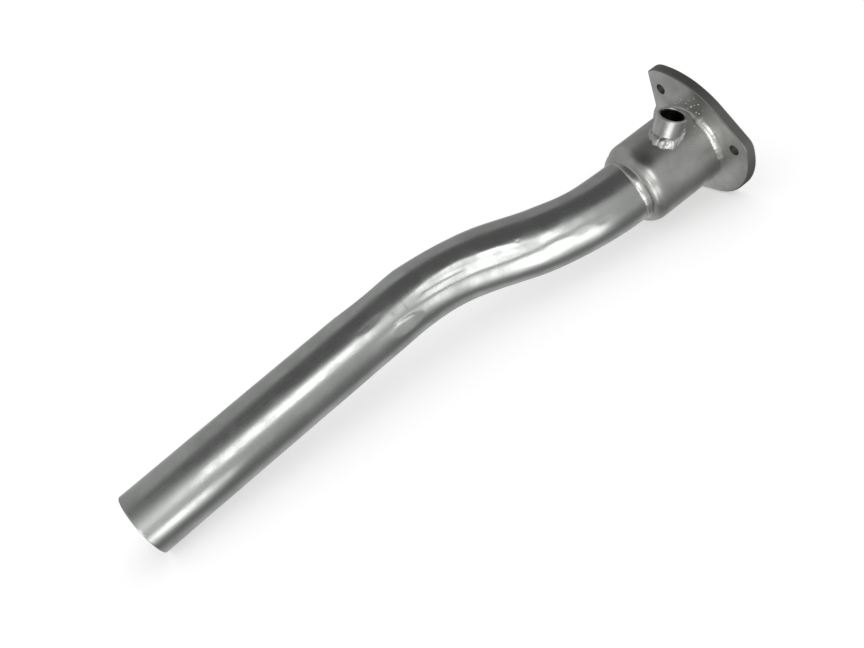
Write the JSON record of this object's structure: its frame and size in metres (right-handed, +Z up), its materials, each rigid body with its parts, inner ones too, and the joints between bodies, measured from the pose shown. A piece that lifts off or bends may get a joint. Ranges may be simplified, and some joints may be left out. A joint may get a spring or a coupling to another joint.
{
  "type": "catalyst replacement pipe",
  "caption": "Bent steel exhaust pipe that takes a catalyst's place: a plain open end, two opposite bends, a wider necked sleeve, a bolted flange and a leaning threaded sensor boss.",
  "frame": {"origin": "middle of the bounding box's base: the floor that the pipe lies on is Z = 0", "axes": "+X from the plain open end towards the flange, along the pipe as it lies; +Z up"},
  "size_m": [0.5026, 0.1288, 0.1053],
  "materials": {
    "tube_steel": "semi-gloss coated steel, long soft highlights, fine scratches and small dull spots",
    "sleeve_steel": "satin grey, rolled steel",
    "flange_steel": "satin grey plate, darker cut edge",
    "boss_steel": "turned, semi-gloss",
    "weld_metal": "uneven, rippled weld metal"
  },
  "bodies": {
    "root": {"main_tube": "tube_steel", "sleeve_tube": "sleeve_steel", "flange_plate": "flange_steel", "sensor_boss": "boss_steel", "neck_weld": "weld_metal", "flange_weld": "weld_metal", "boss_weld": "weld_metal"}
  },
  "joints": []
}
